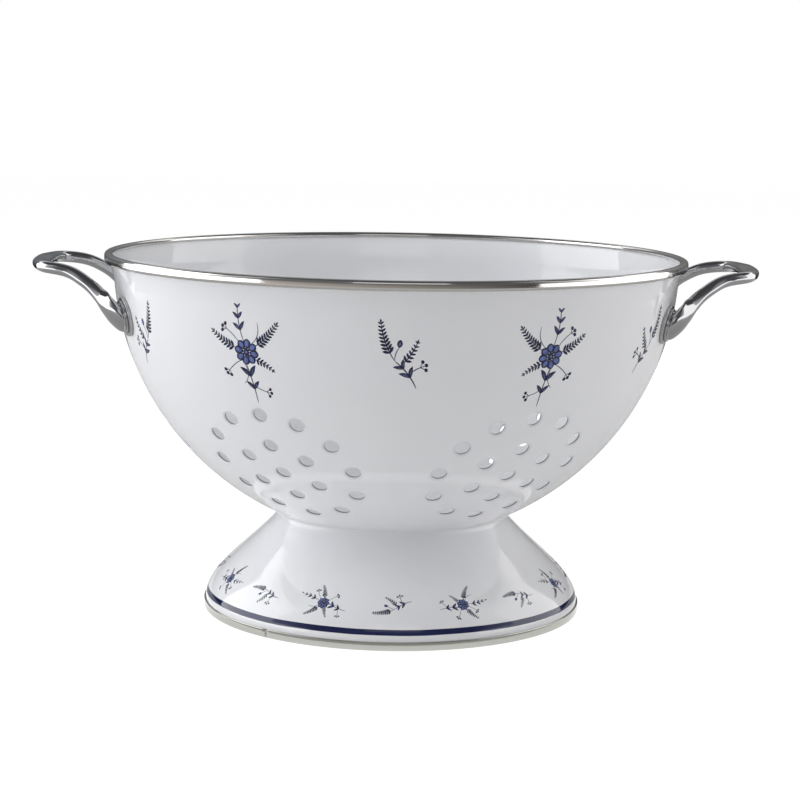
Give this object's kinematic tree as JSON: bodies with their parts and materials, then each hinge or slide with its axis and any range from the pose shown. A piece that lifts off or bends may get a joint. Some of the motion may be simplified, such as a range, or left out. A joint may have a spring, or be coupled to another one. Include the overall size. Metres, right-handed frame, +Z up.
{
  "type": "colander",
  "caption": "Enamelled pedestal colander: hemispherical bowl with rosettes of drain holes on a flared foot, with steel edge bands and two cast bail handles.",
  "frame": {"origin": "centre of the foot's lower edge, on the surface that the colander stands on", "axes": "+Z up along the bowl's axis, +X towards the right handle, -Y towards the viewer"},
  "size_m": [0.3286, 0.265, 0.1636],
  "materials": {
    "enamel": "glossy white vitreous enamel with a cobalt blue decoration",
    "band_steel": "rolled stainless strip, bright with fine lines along it",
    "cast_steel": "cast metal polished to a mirror, slightly uneven",
    "seat_steel": "turned stainless disc, satin",
    "fastener_steel": "stainless, bright rolled"
  },
  "bodies": {
    "root": {"bowl": "enamel", "foot": "enamel", "rim_band": "band_steel", "foot_band": "band_steel", "handle_right": "cast_steel", "handle_left": "cast_steel", "handle_seat_right_front": "seat_steel", "screw_washer_right_front": "fastener_steel", "handle_screw_right_front": "fastener_steel", "handle_seat_right_rear": "seat_steel", "screw_washer_right_rear": "fastener_steel", "handle_screw_right_rear": "fastener_steel", "handle_seat_left_front": "seat_steel", "screw_washer_left_front": "fastener_steel", "handle_screw_left_front": "fastener_steel", "handle_seat_left_rear": "seat_steel", "screw_washer_left_rear": "fastener_steel", "handle_screw_left_rear": "fastener_steel"}
  },
  "joints": []
}
